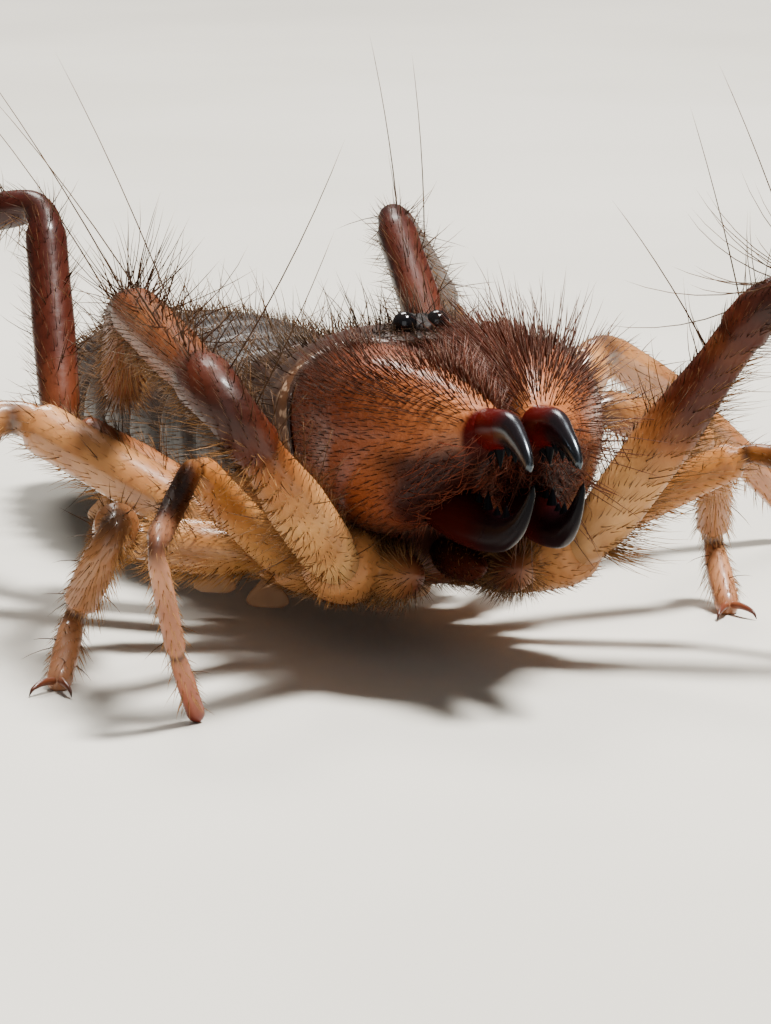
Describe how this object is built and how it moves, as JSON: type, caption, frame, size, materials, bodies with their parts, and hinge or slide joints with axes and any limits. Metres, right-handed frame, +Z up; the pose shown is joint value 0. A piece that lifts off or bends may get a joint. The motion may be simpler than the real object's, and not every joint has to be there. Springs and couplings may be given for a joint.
{
  "type": "sun spider model",
  "caption": "Life-size still model of a hairy sun spider, standing low on splayed legs with its feelers raised and large toothed jaws held forward.",
  "frame": {"origin": "centre of the bounding box footprint, on the floor plane under the feet", "axes": "+Z up; the head and jaws face -Y, the abdomen points to +Y; the right side of the animal is at -X"},
  "size_m": [0.0608, 0.066, 0.0232],
  "materials": {
    "shield": "satin dark grey-brown shell",
    "eye": "glossy black",
    "hand": "satin orange-brown shell",
    "fang": "glossy black-red horn",
    "belly": "soft tan",
    "abdomen": "dark grey, slightly glossy",
    "palp": "satin amber",
    "leg": "satin tan",
    "hind": "satin purple-brown"
  },
  "bodies": {
    "root": {"abdomen_front": "abdomen", "abdomen_middle": "abdomen", "abdomen_tail": "abdomen", "chelicera_finger_left": "fang", "chelicera_finger_right": "fang", "chelicera_left": "hand", "chelicera_right": "hand", "coxae_left": "belly", "coxae_right": "belly", "eye_left": "eye", "eye_right": "eye", "head_shield": "shield", "leg1_left_femur": "leg", "leg1_left_patella": "leg", "leg1_left_shin": "leg", "leg1_right_femur": "leg", "leg1_right_patella": "leg", "leg1_right_shin": "leg", "leg2_left_femur": "leg", "leg2_left_patella": "leg", "leg2_left_shin": "leg", "leg2_right_femur": "leg", "leg2_right_patella": "leg", "leg2_right_shin": "leg", "leg3_left_femur": "leg", "leg3_left_patella": "leg", "leg3_left_shin": "leg", "leg3_right_femur": "leg", "leg3_right_patella": "leg", "leg3_right_shin": "leg", "leg4_left_femur": "hind", "leg4_left_patella": "hind", "leg4_left_shin": "hind", "leg4_right_femur": "hind", "leg4_right_patella": "hind", "leg4_right_shin": "hind", "palp_left_femur": "palp", "palp_left_patella": "palp", "palp_left_shin": "palp", "palp_right_femur": "palp", "palp_right_patella": "palp", "palp_right_shin": "palp", "rostrum": "fang", "thorax_plates": "shield"}
  },
  "joints": []
}
